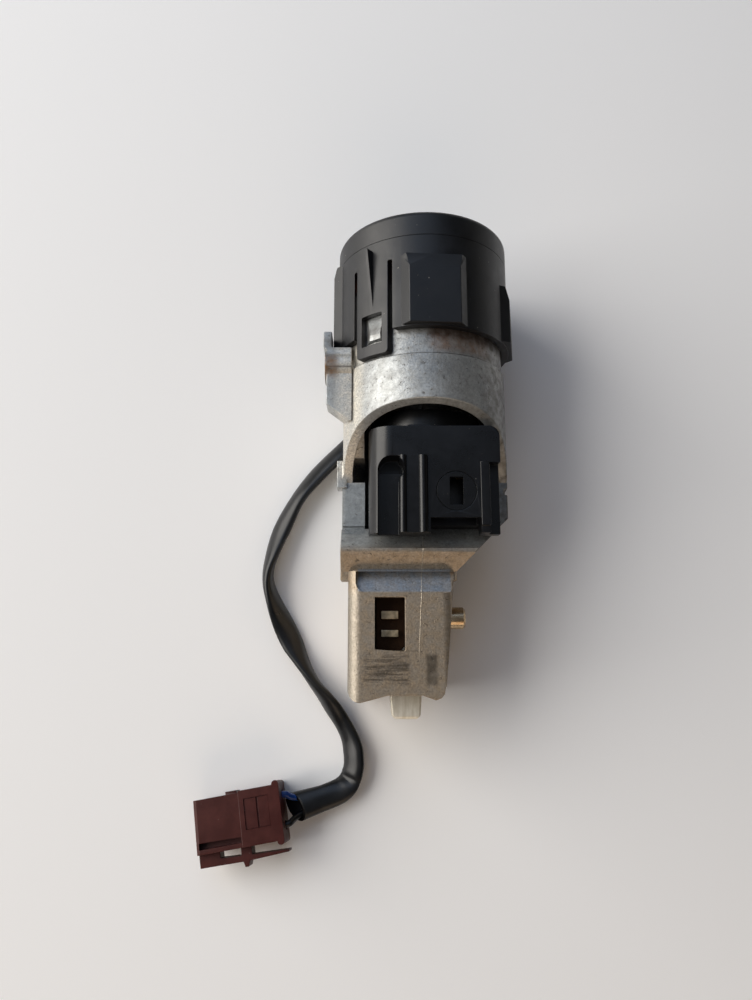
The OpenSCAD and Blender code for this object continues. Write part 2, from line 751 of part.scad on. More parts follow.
module slot_through() translate([0, 2, 0]) rotate([90, 0, 0])
    linear_extrude(4) square(stud_slot, center = true);

module switch_stud() color([0.16, 0.16, 0.17]) laid()
    translate([stud_at[0], -switch_front + stud_t + eps, stud_at[1]]) difference() {
        rotate([90, 0, 0]) cylinder(r = stud_r - fit, h = stud_t);
        slot_through();
    }

module switch_terminals() color(brass) laid() for (i = [0 : 3])
    box(
        [socket_x + socket_w * (i + 0.5) / 4 - 0.8, -socket_back - socket_d / 2 - 0.4, socket_top - 5],
        [socket_x + socket_w * (i + 0.5) / 4 + 0.8, -socket_back - socket_d / 2 + 0.4, socket_top]
    );

module switch_rotor() color([0.85, 0.84, 0.8]) laid() difference() {
    translate([0, 0, rotor_z]) cylinder(r = rotor_r, h = switch_top - rotor_z);
    box(
        [-rotor_tang[0] / 2 - fit, -rotor_tang[1] / 2 - fit, switch_top - tang_in - fit],
        [rotor_tang[0] / 2 + fit, rotor_tang[1] / 2 + fit, switch_top + 1]
    );
}

module contact_bridge() color([0.7, 0.42, 0.25]) laid() translate([0, 0, rotor_z - 1]) difference() {
    cylinder(r = rotor_r - 0.4, h = 1);
    for (s = [-1, 1]) box([s * 4 - 2.4, -7, -1], [s * 4 + 2.4, 7, 2]);
}

// Bolt

// Hole of the pin that joins the bolt to its carrier
module cross_hole() translate([bolt_x, tube_r, carrier_z + cross_up]) rotate([90, 0, 0])
    cylinder(r = cross_r, h = 2 * tube_r);

module bolt() color(steel) laid() {
    tip = bolt_w / 2;
    along_y(bolt_y - bolt_t / 2, bolt_y + bolt_t / 2) translate([bolt_x, 0]) polygon([
        [-tip, carrier_z - eps], [-tip, 0.4], [-tip + 0.3, 0.9 - bolt_out], [-tip + 0.9, -bolt_out],
        [tip - 0.9, -bolt_out], [tip - 0.3, 0.9 - bolt_out], [tip, 0.4], [tip, carrier_z - eps]
    ]);
    difference() {
        box([bolt_x - 1.5, bolt_y - 1.5, carrier_z - 1], [bolt_x + 1.5, bolt_y + 1.5, carrier_z + 4]);
        cross_hole();
    }
}

module bolt_carrier() color(zinc) laid() difference() {
    union() {
        box([chamber[0][0] + loose, -1.6, carrier_z], [chamber[1][0] - loose, rod[1][1], carrier_top]);
        for (z = ribs) box([rib_x[0], chamber[0][1] + loose, z[0]], [rib_x[1], -1.5, z[1]]);
        box([rod[0][0], rod[0][1], carrier_top - 1], [rod[1][0], rod[1][1], finger_z + finger_h]);
        box([rod[1][0] - 1, rod[0][1], finger_z], [finger_x, rod[0][1] + 2, finger_z + finger_h]);
    }
    box(
        [bolt_x - 1.5 - fit, bolt_y - 1.5 - fit, carrier_z - 1],
        [bolt_x + 1.5 + fit, bolt_y + 1.5 + fit, carrier_z + 4 + fit]
    );
    cross_hole();
    translate([spring_x, bolt_y, seat_hole_z]) cylinder(r = spring_r + spring_wire, h = 10);
}

module carrier_pin() color(steel) laid() translate([bolt_x, rod[1][1] - 0.2, carrier_z + cross_up])
    rotate([90, 0, 0]) cylinder(r = cross_r - fit, h = rod[1][1] + 1.2);

module bolt_spring() color(steel) laid() translate([spring_x, bolt_y, seat_hole_z])
    coil(spring_r, spring_wire, floor_z - plate_t - seat_hole_z, 8);

module spring_plate() color(steel) laid()
    box(
        [rod[1][0] + 0.6 + fit, -2 + fit, floor_z - plate_t],
        [1.6 - fit, chamber[1][1] + 1 - fit, floor_z]
    );

// Plate that closes the chamber and guides the bolt
module bolt_guide() color(steel) laid() difference() {
    box(
        [chamber[0][0] + fit, chamber[0][1] + fit, guide[0]],
        [chamber[1][0] - fit, chamber[1][1] - fit, guide[1]]
    );
    box(
        [bolt_x - bolt_w / 2 - run, bolt_y - bolt_t / 2 - run, 0],
        [bolt_x + bolt_w / 2 + run, bolt_y + bolt_t / 2 + run, guide[1] + 1]
    );
}

// Retaining pin

module retaining_pin() color(steel) laid() translate([pin_flange_x, pin_y, pin_z]) rotate([0, 90, 0]) {
    length = pin_side + pin_out - pin_flange_x;
    rotate_extrude() polygon([
        [0, 0], [pin_bore_r - run, 0], [pin_bore_r - run, pin_flange_t], [pin_guide_r, pin_flange_t],
        [pin_guide_r, length - pin_out + 0.2], [pin_r, length - pin_out + 0.2],
        [pin_r, length - pin_nose_bevel], [pin_r - pin_nose_bevel, length], [0, length]
    ]);
}

module pin_spring() color(steel) laid() translate([pin_end, pin_y, pin_z]) rotate([0, 90, 0])
    coil(pin_bore_r - 1, 0.6, pin_flange_x - pin_end, 6, 10);

module pin_bush() color(brass) laid()
    translate([pin_flange_x + pin_flange_t, pin_y, pin_z]) rotate([0, 90, 0])
        ring(pin_bore_r - fit, pin_guide_r + run, pin_side - pin_flange_x - pin_flange_t - 0.6);

// Lead

lead_points = [for (p = lead_route) [lead_exit[0] + p[0], lead_exit[1] + p[1], p[2]]];
lead_last = len(lead_points) - 1;
lead_end = lead_points[lead_last];
lead_end_heading = heading(lead_points, lead_last);
clip_heading = [-clip_cut[1], -clip_cut[0]] / norm(clip_cut);

module lead_sleeve() color([0.18, 0.19, 0.2]) skin([
    for (i = [0 : lead_last])
        let (d = i == 0 ? clip_heading : heading(lead_points, i))
            flat_ring(lead_points[i], d, lead_route[i][3], lead_w, lead_t, 10)
]);

// A wire from one edge of the sleeve's end into its hole in the connector
module wire(edge, v) {
    u = [cos(connector_turn), sin(connector_turn)];
    start = [lead_end[0] - lead_end_heading[1] * edge, lead_end[1] + lead_end_heading[0] * edge, lead_end[2]];
    skin([
        flat_ring(start, lead_end_heading, 0, 2 * wire_r, 2 * wire_r, 8),
        flat_ring(plug_point(-0.3, v, wire_h), u, 0, 2 * wire_r, 2 * wire_r, 8),
        flat_ring(plug_point(wire_in, v, wire_h), u, 0, 2 * wire_r, 2 * wire_r, 8)
    ]);
}

module wire_blue() color([0.12, 0.25, 0.48]) wire(-lead_w / 2 + 1.1, wire_v[0]);

module wire_black() color([0.08, 0.08, 0.08]) wire(lead_w / 2 - 1.1, wire_v[1]);

// Connector, drawn from the corner of its rear face toward the mating face

wire_in = 4;
step_u = 10.8;
recess = [[2.9, 2], [9.6, 9]];
recess_floor = connector_h - 0.8;
latch_low = 2.6;
latch_high = 7;
end_bevel = 0.8;
lock_groove = [6.2, 6.6];
contact_l = 6;

connector_corner = [
    lead_exit[0] + connector_at[0], lead_exit[1] + connector_at[1], flange_out * sin(connector_roll)
];
rib_v = [connector_w - 2, connector_w - 0.8];
rib_low = -(rib_v[0] + flange_out) * tan(connector_roll);

module plugged() translate(connector_corner) rotate([connector_roll, 0, connector_turn]) children();

// Row point of a place on the connector
function plug_point(u, v, h) =
    let (
        across = v * cos(connector_roll) - h * sin(connector_roll),
        up = v * sin(connector_roll) + h * cos(connector_roll)
    )
        connector_corner + [
            u * cos(connector_turn) - across * sin(connector_turn),
            u * sin(connector_turn) + across * cos(connector_turn),
            up
        ];

// Latch: a root at the mating end, a thin tapered arm, a post that bears it and its catch
module latch() translate([0, 0, latch_low]) linear_extrude(latch_high - latch_low) {
    w = connector_w;
    root = connector_l - 0.2;
    polygon([
        [root, w - eps], [root, w + 3], [10.6, w + 3.2], [0.3, w + 2.8],
        [0.3, w + 2.3], [9.9, w + 1.9], [root - 5, w + 1.5], [root - 5, w - eps]
    ]);
    translate([9.2, w - eps]) square([2.6, 2.2]);
    polygon([[9.8, w + 3], [11.5, w + 3], [11.1, w + 4.4], [10.2, w + 4.4]]);
}

// Flange at the rear with round ends
module flange_plate() {
    r = (flange[1] - flange[0]) / 2;
    ends = [r - flange_out, connector_w + flange_out - r];
    box([flange[0], ends[0], 0], [flange[1], ends[1], connector_h + 0.3]);
    for (v = ends) translate([flange[0] + r, v, 0]) cylinder(r = r, h = connector_h + 0.3);
}

module connector_housing() color(brown) plugged() difference() {
    union() {
        box([2, 0, 0.3], [step_u, connector_w, connector_h]);
        box([step_u - eps, 0.4, 0.6], [connector_l, connector_w, connector_h - 0.4]);
        flange_plate();
        for (i = [0 : 3]) translate([flange[1], 1.6 + 3.2 * i, 0.2]) cylinder(r = 1.2, h = connector_h - 0.1);
        box([11.4, -0.3, 3], [14.2, 0.5, 7.5]);
        box([3, rib_v[0], rib_low], [connector_l - 3, rib_v[1], 1]);
        latch();
    }
    box([recess[0][0] + 0.7, recess[0][1], recess_floor], [recess[1][0], recess[1][1], connector_h + 1]);
    box([step_u + 0.2, 10.2, connector_h - 2.4], [connector_l - 0.8, 11.6, connector_h + 1]);
    translate([connector_l - end_bevel, -1, connector_h - 0.4]) rotate([0, 45, 0])
        box([0, 0, 0], [3, connector_w + 2, 3]);
    for (v = wire_v) {
        round_rod_x(-1, wire_in + eps, wire_r + 0.25, v, wire_h);
        box([wire_in, v - 1.3, wire_h - 1.3], [connector_l + 1, v + 1.3, wire_h + 1.3]);
    }
}

module connector_lock() color([0.29, 0.17, 0.16]) plugged() difference() {
    box(
        [recess[0][0] + 0.7 + fit, recess[0][1] + fit, recess_floor],
        [recess[1][0] - fit, recess[1][1] - fit, connector_h - 0.2]
    );
    box([lock_groove[0], 0, connector_h - 0.5], [lock_groove[1], connector_w, connector_h]);
}

module connector_terminals() color(brass) plugged() for (v = wire_v) difference() {
    box([wire_in, v - 1.25, wire_h - 1.25], [connector_l - 1, v + 1.25, wire_h + 1.25]);
    box([wire_in + contact_l, v - 0.9, wire_h - 0.9], [connector_l, v + 0.9, wire_h + 0.9]);
}

lock_body();
collar();
cap();
coil_bobbin();
coil_winding();
coil_wires();
lead_clip();
lock_sleeve();
sleeve_pin();
plug();
plug_face();
wafers();
circlip();
driver();
switch_housing();
switch_stud();
switch_terminals();
switch_rotor();
contact_bridge();
bolt();
bolt_carrier();
carrier_pin();
bolt_spring();
spring_plate();
bolt_guide();
retaining_pin();
pin_spring();
pin_bush();
lead_sleeve();
wire_blue();
wire_black();
connector_housing();
connector_lock();
connector_terminals();
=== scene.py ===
import bpy
import json
import math
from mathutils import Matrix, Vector
from mathutils.bvhtree import BVHTree
from mathutils.kdtree import KDTree

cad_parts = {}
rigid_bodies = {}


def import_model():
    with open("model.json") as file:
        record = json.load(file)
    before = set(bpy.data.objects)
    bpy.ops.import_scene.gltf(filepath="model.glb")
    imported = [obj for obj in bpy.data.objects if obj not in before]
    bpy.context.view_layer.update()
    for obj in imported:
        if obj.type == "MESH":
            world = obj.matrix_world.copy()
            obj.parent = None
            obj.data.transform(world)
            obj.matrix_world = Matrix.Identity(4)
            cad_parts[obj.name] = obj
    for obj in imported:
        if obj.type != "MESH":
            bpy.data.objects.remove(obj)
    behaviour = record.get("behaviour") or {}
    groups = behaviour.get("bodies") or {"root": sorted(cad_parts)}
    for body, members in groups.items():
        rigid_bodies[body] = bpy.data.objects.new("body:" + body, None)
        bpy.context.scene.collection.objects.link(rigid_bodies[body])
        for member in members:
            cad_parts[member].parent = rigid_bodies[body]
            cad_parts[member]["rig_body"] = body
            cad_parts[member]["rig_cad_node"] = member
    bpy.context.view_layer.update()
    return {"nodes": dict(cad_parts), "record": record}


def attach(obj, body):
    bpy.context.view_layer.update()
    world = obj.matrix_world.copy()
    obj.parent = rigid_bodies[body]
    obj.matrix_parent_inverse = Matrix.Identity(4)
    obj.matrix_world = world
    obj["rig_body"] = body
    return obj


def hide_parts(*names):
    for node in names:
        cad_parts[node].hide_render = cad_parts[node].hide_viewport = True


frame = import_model()
nodes = frame["nodes"]
mm = 0.001

# The photograph's camera: place in millimetres, tilt in degrees, focal length fitted in pixels
cameraView = {
    "place": (-11.12, -39.63, 195.08), "tilt": 10.8, "focalPixels": 720, "imageHeight": 1000,
    "sensor": 24, "nearest": 5,
}
bpy.ops.object.camera_add(
    location=[v * mm for v in cameraView["place"]], rotation=(math.radians(cameraView["tilt"]), 0, 0),
)
camera = bpy.context.object
camera.data.sensor_fit = "VERTICAL"
camera.data.sensor_height = cameraView["sensor"]
camera.data.lens = cameraView["sensor"] * cameraView["focalPixels"] / cameraView["imageHeight"]
camera.data.clip_start = cameraView["nearest"] * mm
bpy.context.scene.camera = camera
bpy.context.scene.view_settings.view_transform = "Standard"
print("camera set")


def srgb(hexCode):
    parts = [int(hexCode[i:i + 2], 16) / 255 for i in (1, 3, 5)]
    return tuple(c / 12.92 if c <= 0.04045 else ((c + 0.055) / 1.055) ** 2.4 for c in parts) + (1.0,)


def addNode(tree, kind, inputs=None, **settings):
    node = tree.nodes.new("ShaderNode" + kind)
    for name, value in settings.items():
        setattr(node, name, value)
    for key, value in (inputs or {}).items():
        if isinstance(value, bpy.types.NodeSocket):
            tree.links.new(value, node.inputs[key])
        else:
            node.inputs[key].default_value = value
    return node


def startMaterial(name):
    material = bpy.data.materials.new(name)
    material.use_nodes = True
    tree = material.node_tree
    tree.nodes.clear()
    shader = addNode(tree, "BsdfPrincipled")
    addNode(tree, "OutputMaterial", {"Surface": shader.outputs[0]})
    return material, tree, shader


def pickOnly(*things):
    bpy.ops.object.select_all(action="DESELECT")
    for thing in things:
        thing.select_set(True)
    bpy.context.view_layer.objects.active = things[0]


# Flat wiring sleeve in millimetres: where it leaves the clip, then its middle from there; rolls in degrees
lead = {
    "exit": (-8.8208, 20.35), "length": 129, "width": 6.2, "thick": 3.0, "wall": 0.5,
    "sides": 28, "stepsPerLeg": 9,
    "mouthDepth": 6, "boreTaper": (0.92, 0.9), "boreLevelAt": 5,  # narrows inward, level with that ring
    "mouthSlant": 1.4, "slantLength": 7, "slantFrom": 0.1, "flare": 0.16,  # cut aslant and spread
    "kinkAt": (-8.9, -95.3), "kinkDepth": 0.35, "kinkLength": 1.1,  # crease at the sharp bend
    "route": [
        (0, 0, 1.8), (-6.2, -5.2, 2), (-12, -10, 2.4), (-18.5, -16.5, 2.5), (-23.5, -23, 2.7),
        (-27.5, -31, 2.5), (-30, -38, 2.9), (-31, -44, 3.2), (-29.5, -50, 3.1), (-25, -60, 2.2),
        (-19, -70.5, 2.8), (-14.8, -76, 2.7), (-11.3, -81, 2), (-9, -85.3, 2), (-8, -89.6, 2.3),
        (-8.2, -93.4, 2.3), (-10, -97, 2.4), (-14.2, -99.2, 2.9), (-22.8, -101.7, 4),
    ],
    "rolls": [0, 20, 40, 45, 54, 41, 60, 85, 112, 150, 90, 58, 40, 36, 37, 35, 25, 10, 10],
}


def smoothRoute(points, steps):
    made = []
    for i in range(len(points) - 1):
        quad = [points[max(i - 1, 0)], points[i], points[i + 1], points[min(i + 2, len(points) - 1)]]
        for s in range(steps):
            t = s / steps
            made.append([
                0.5 * (2 * b + (c - a) * t + (2 * a - 5 * b + 4 * c - d) * t * t
                       + (3 * b - a - 3 * c + d) * t ** 3)
                for a, b, c, d in zip(*quad)
            ])
    return made + [list(points[-1])]


def headingAt(path, i):
    a, b = path[max(i - 1, 0)], path[min(i + 1, len(path) - 1)]
    return Vector((b[0] - a[0], b[1] - a[1])).normalized()


def sleeveRing(at, heading, width, thick, sides, slant=0):
    roll, ring = math.radians(at[3]), []
    clear = math.sqrt(max(at[2] ** 2 - (thick / 2 * math.cos(roll)) ** 2, 1)) / max(abs(math.sin(roll)), 0.01)
    half = min(width / 2, clear)  # on its edge the sleeve is pressed flat by the floor
    for j in range(sides):
        a = 2 * math.pi * j / sides
        flat, tall = half * math.cos(a), thick / 2 * math.sin(a)
        side = flat * math.cos(roll) - tall * math.sin(roll)
        up = flat * math.sin(roll) + tall * math.cos(roll)
        back = slant * (up + lead["slantFrom"] * lead["thick"])
        x = at[0] - heading.y * side - heading.x * back
        y = at[1] + heading.x * side - heading.y * back
        ring.append((x * mm, y * mm, (at[2] + up) * mm))
    return ring


def makeLead():
    rolled = [(*point, roll) for point, roll in zip(lead["route"], lead["rolls"])]
    exitX, exitY = lead["exit"]
    path = [(exitX + x, exitY + y, z, r) for x, y, z, r in smoothRoute(rolled, lead["stepsPerLeg"])]
    last, n = len(path) - 1, lead["sides"]
    end, endHeading = path[last], headingAt(path, last)
    rings = []
    for i, p in enumerate(path):
        toEnd = (Vector(end[:2]) - Vector(p[:2])).length
        nearEnd = max(0, 1 - toEnd / lead["slantLength"])
        fromKink = (Vector(p[:2]) - Vector(lead["exit"]) - Vector(lead["kinkAt"])).length
        thick = lead["thick"] * (1 - lead["kinkDepth"] * math.exp(-(fromKink / lead["kinkLength"]) ** 2))
        width = lead["width"] * (1 + lead["flare"] * nearEnd)
        rings.append(sleeveRing(p, headingAt(path, i), width, thick, n, lead["mouthSlant"] * nearEnd))
    bore = (lead["width"] * (1 + lead["flare"]) - 2 * lead["wall"], lead["thick"] - 2 * lead["wall"])
    rings.append(sleeveRing(end, endHeading, *bore, n, lead["mouthSlant"]))
    inward = lead["mouthDepth"] * endHeading
    deep = (end[0] - inward.x, end[1] - inward.y, path[last - lead["boreLevelAt"]][2], end[3])
    deepBore = [size * share for size, share in zip(bore, lead["boreTaper"])]
    rings.append(sleeveRing(deep, endHeading, *deepBore, n))
    faces = [tuple(range(n))]
    for i in range(len(rings) - 1):
        faces += [
            (i * n + j, (i + 1) * n + j, (i + 1) * n + (j + 1) % n, i * n + (j + 1) % n) for j in range(n)
        ]
    faces.append(tuple((len(rings) - 1) * n + j for j in range(n))[::-1])
    mesh = bpy.data.meshes.new("leadSleeve")
    mesh.from_pydata([v for r in rings for v in r], [], faces)
    tube = bpy.data.objects.new("leadSleeve", mesh)
    bpy.context.collection.objects.link(tube)
    pickOnly(tube)
    bpy.ops.object.mode_set(mode="EDIT")
    bpy.ops.mesh.select_all(action="SELECT")
    bpy.ops.mesh.normals_make_consistent(inside=False)
    bpy.ops.object.mode_set(mode="OBJECT")
    bpy.ops.object.shade_smooth_by_angle(angle=math.radians(50))
    return tube, path, end, endHeading


leadTube, leadPath, leadEnd, leadEndHeading = makeLead()
leadLegs = [(Vector(a[:3]) - Vector(b[:3])).length for a, b in zip(leadPath, leadPath[1:])]
print("lead laid, mm:", round(sum(leadLegs), 1))

# Two insulated wires from the sleeve's mouth into the plug's rear holes, in millimetres and degrees
wires = {
    "radius": 0.8, "height": 4.6,
    "plugCorner": (-25.2, -96.5), "plugTurn": 190, "plugRoll": 10, "plugLift": 0.156,
    "inSleeve": ((5, 1), (2.5, 0.8)),  # how far behind the mouth, how far below its middle
    "inPlug": (-0.5, 0.8, 3.6),  # how far past the rear face
    "each": {"blueWire": {"edge": -1.5, "across": 2.6}, "blackWire": {"edge": 1.7, "across": 9.6}},
}


def makeWire(name, spec):
    turn, roll = math.radians(wires["plugTurn"]), math.radians(wires["plugRoll"])
    along = Vector((math.cos(turn), math.sin(turn)))
    across = spec["across"] * math.cos(roll) - wires["height"] * math.sin(roll)
    height = spec["across"] * math.sin(roll) + wires["height"] * math.cos(roll) + wires["plugLift"]
    hole = Vector(lead["exit"]) + Vector(wires["plugCorner"]) + across * Vector((-along.y, along.x))
    start = Vector(leadEnd[:2]) + spec["edge"] * Vector((-leadEndHeading.y, leadEndHeading.x))
    line = [(*(start - back * leadEndHeading), leadEnd[2] - drop) for back, drop in wires["inSleeve"]]
    line.append((*(0.5 * (start + hole)), 0.5 * (leadEnd[2] + height)))
    line += [(*(hole + reach * along), height) for reach in wires["inPlug"]]
    data = bpy.data.curves.new(name, "CURVE")
    data.dimensions = "3D"
    data.bevel_depth = wires["radius"] * mm
    data.bevel_resolution = 4
    data.use_fill_caps = True
    spline = data.splines.new("NURBS")
    spline.points.add(len(line) - 1)
    for point, place in zip(spline.points, line):
        point.co = (*[v * mm for v in place], 1)
    spline.use_endpoint_u = True
    spline.order_u = 4
    spline.resolution_u = 10
    wire = bpy.data.objects.new(name, data)
    bpy.context.collection.objects.link(wire)
    pickOnly(wire)
    bpy.ops.object.convert(target="MESH")
    return bpy.context.object


wirePieces = {name: makeWire(name, spec) for name, spec in wires["each"].items()}
print("wires drawn")

# Castings and mouldings: each takes its solid's form with the edge radius of the real piece, in millimetres
softEdges = {
    "lock_body": {"name": "castHousing", "radius": 0.24, "split": True, "least": 50},
    "collar": {"name": "collarShell", "radius": 0.18, "split": True},
    "cap": {"name": "capRing", "radius": 0.18},
    "switch_housing": {"name": "switchBlock", "radius": 0.18, "split": True},
    "connector_housing": {"name": "plugShell", "radius": 0.12, "split": True},
    "connector_lock": {"name": "plugLock", "radius": 0.06},
    "bolt": {"name": "boltBar", "radius": 0.6, "split": True},
    "bolt_carrier": {"name": "carrierBlock", "radius": 0.15},
    "lead_clip": {"name": "leadClamp", "radius": 0.3},
    "switch_stud": {"name": "switchPlugDisc", "radius": 0.08},
}
# How edges are rounded: lengths in millimetres, angles in degrees
rounding = {
    "merge": 0.002, "flat": 0.6, "least": 32, "smooth": 40, "segments": 2,
    "tiny": 0.001, "against": -0.2,  # a folded face: larger than this (square mm), against its solid
    "spare": ((all, 3), (all, 3), (any, 2), (any, 2)),  # pinched at both ends, then at either; reach in radii
}


def foldedCorners(piece, surface):
    shaped = piece.evaluated_get(bpy.context.evaluated_depsgraph_get())
    mesh = shaped.to_mesh()
    mesh.calc_loop_triangles()
    corners = []
    for tri in mesh.loop_triangles:
        ends = [mesh.vertices[i].co.copy() for i in tri.vertices]
        facing = surface.find_nearest(sum(ends, Vector()) / 3)[1]
        if tri.area > rounding["tiny"] * mm * mm and tri.normal.dot(facing) < rounding["against"]:
            corners += ends
    shaped.to_mesh_clear()
    return corners


def sparePinched(piece, surface, radius):
    for enough, reach in rounding["spare"]:
        corners = foldedCorners(piece, surface)
        if not corners:
            return
        near = KDTree(len(corners))
        for i, corner in enumerate(corners):
            near.insert(corner, i)
        near.balance()
        weights = piece.data.attributes["bevel_weight_edge"].data
        for edge in piece.data.edges:
            ends = [piece.data.vertices[i].co for i in edge.vertices]
            if weights[edge.index].value and enough(near.find(end)[2] < reach * radius for end in ends):
                weights[edge.index].value = 0  # rounding it would fold a face back, so it stays sharp
        piece.data.update()


def roundEdges(node, spec):
    solid = nodes[node].data
    piece = bpy.data.objects.new(spec["name"], solid.copy())
    bpy.context.collection.objects.link(piece)
    pickOnly(piece)
    bpy.ops.mesh.customdata_custom_splitnormals_clear()
    bpy.ops.object.mode_set(mode="EDIT")
    bpy.ops.mesh.select_all(action="SELECT")
    bpy.ops.mesh.remove_doubles(threshold=rounding["merge"] * mm)
    bpy.ops.mesh.dissolve_limited(angle_limit=math.radians(rounding["flat"]))
    if spec.get("split"):
        bpy.ops.mesh.quads_convert_to_tris(ngon_method="BEAUTY")  # holed faces fill cleanly only so
    bpy.ops.mesh.select_mode(type="EDGE")
    bpy.ops.mesh.select_all(action="DESELECT")
    least = spec.get("least", rounding["least"])  # flatter edges stay as they are
    bpy.ops.mesh.edges_select_sharp(sharpness=math.radians(least))
    bpy.ops.object.mode_set(mode="OBJECT")
    weights = piece.data.attributes.new("bevel_weight_edge", "FLOAT", "EDGE")
    weights.data.foreach_set("value", [float(edge.select) for edge in piece.data.edges])
    bevel = piece.modifiers.new("edge", "BEVEL")
    bevel.width = spec["radius"] * mm
    bevel.segments = rounding["segments"]
    bevel.limit_method = "WEIGHT"
    bevel.use_clamp_overlap = False
    bevel.loop_slide = False  # even widths: slid corners tear the faces of the arch
    bevel.miter_outer = "MITER_ARC"
    surface = BVHTree.FromPolygons([v.co for v in solid.vertices], [face.vertices for face in solid.polygons])
    sparePinched(piece, surface, spec["radius"] * mm)
    bpy.ops.object.modifier_apply(modifier="edge")
    bpy.ops.object.shade_smooth_by_angle(angle=math.radians(rounding["smooth"]))
    piece.modifiers.new("flat faces", "WEIGHTED_NORMAL").keep_sharp = True
    bpy.ops.object.modifier_apply(modifier="flat faces")
    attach(piece, nodes[node]["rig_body"])
    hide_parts(node)
    return piece


pieces = {spec["name"]: roundEdges(node, spec) for node, spec in softEdges.items()}
print("edges rounded on", len(pieces), "pieces")


def band(tree, value, low, high, soft):
    limits = [{"From Min": (low - soft) * mm, "From Max": (low + soft) * mm}]
    limits.append({"From Min": (high + soft) * mm, "From Max": (high - soft) * mm})
    up, down = [
        addNode(tree, "MapRange", {"Value": value, **limit}, interpolation_type="SMOOTHSTEP")
        for limit in limits
    ]
    return addNode(tree, "Math", {0: up.outputs[0], 1: down.outputs[0]}, operation="MULTIPLY").outputs[0]


def together(tree, *masks):
    share = masks[0]
    for mask in masks[1:]:
        share = addNode(tree, "Math", {0: share, 1: mask}, operation="MULTIPLY").outputs[0]
    return share


# Marks of use and casting on the housing, and painted light, shade and reflections: where they lie in
# millimetres, how strong they are, their colour
housingMarks = {
    # painted light: the housing's left flank paler, where the window light falls
    "paintedLightLeft": {
        "x": (-20.4, -14.6), "y": (-1.6, 30), "z": (0, 50),
        "soft": 1.4, "share": 0.8, "tone": "#e2dccf",
    },
    "rustWash": {
        "x": (1.5, 15), "y": (24.2, 31), "z": (20, 50),
        "soft": 1.6, "share": 0.6, "tone": "#8a6242",
    },
    # brown dirt on the neck's right side under the collar, darkened further as painted shade
    "neckDirtAndShade": {
        "x": (0.5, 18), "y": (27.2, 31), "z": (20, 50),
        "soft": 1.4, "share": 0.9, "tone": "#3d2a1c",
    },
    # painted shade: a thin dark line in the corner above the neck's step
    "stepPaintedShade": {
        "x": (-30, 30), "y": (23.35, 23.75), "z": (0, 50),
        "soft": 0.1, "share": 0.7, "tone": "#4a443d", "least": 0.7,
    },
    "collarShade": {
        "x": (-30, 30), "y": (28.4, 31), "z": (0, 50),
        "soft": 0.8, "share": 0.45, "tone": "#4c443c",
    },
    # painted warm reflection: a brown tone over the shank and its band
    "shankWarmReflection": {
        "x": (-30, 30), "y": (-60, -19.4), "z": (0, 50),
        "soft": 1.6, "share": 0.86, "tone": "#a28e74", "least": 0.85,
    },
    # painted light: the shank's left side paler, where the window light falls
    "shankPaintedLightLeft": {
        "x": (-30, -15.2), "y": (-60, -29.5), "z": (24, 50),
        "soft": 1.2, "share": 0.8, "tone": "#9f998d",
    },
    "brownLug": {
        "x": (-30, -20.4), "y": (21.4, 26.6), "z": (0, 50),
        "soft": 1.3, "share": 0.9, "tone": "#78552f",
    },
    # painted cool reflection: a darker bluish grey on the post
    "postCoolReflection": {
        "x": (-18.6, -13.6), "y": (-15.6, -3.2), "z": (22.6, 50),
        "soft": 0.3, "share": 0.6, "tone": "#7f878c",
    },
    # painted shade: the housing's right side darker, away from the window light
    "rightSidePaintedShade": {
        "x": (14, 30), "y": (-20, 30), "z": (0, 50),
        "soft": 3, "share": 0.6, "tone": "#564f47",
    },
    # painted cool reflection: a bluish tone on the brow, as from the sky
    "browSkyReflection": {
        "x": (-15.3, 6.2), "y": (-29.3, -24), "z": (24, 33),
        "soft": 0.25, "share": 0.75, "tone": "#8394a6",
    },
    "scuffPanel": {
        "x": (-14, -3.6), "y": (-50, -43.1), "z": (28.5, 50),
        "soft": 0.7, "share": 0.8, "tone": "#4f463b", "least": 0,
    },
    "dullPatch": {
        "x": (0.2, 2.7), "y": (-50.1, -43.4), "z": (28.5, 50),
        "soft": 0.5, "share": 0.85, "tone": "#50493f",
    },
    "insertLine": {
        "x": (-4.4, -1.6), "y": (-42.75, -42.55), "z": (28.5, 50),
        "soft": 0.06, "share": 0.6, "tone": "#4a4238",
    },
    # grease and painted shade: the walls of the bolt window darkened almost to black brown
    "windowGreaseAndShade": {
        "x": (-11.6, -4.3), "y": (-42.8, -30.4), "z": (0, 28.7),
        "soft": 0.12, "share": 0.92, "tone": "#2a1d13",
    },
}
# The casting's parting line leans and wanders: (from, to, softness) in millimetres
partingLine = {
    "lean": -0.0489, "wander": 0.3,
    "x": (0.88, 0.98, 0.06), "z": (24, 60, 1), "low": (-43, -14, 3), "high": (22, 40, 1),
}


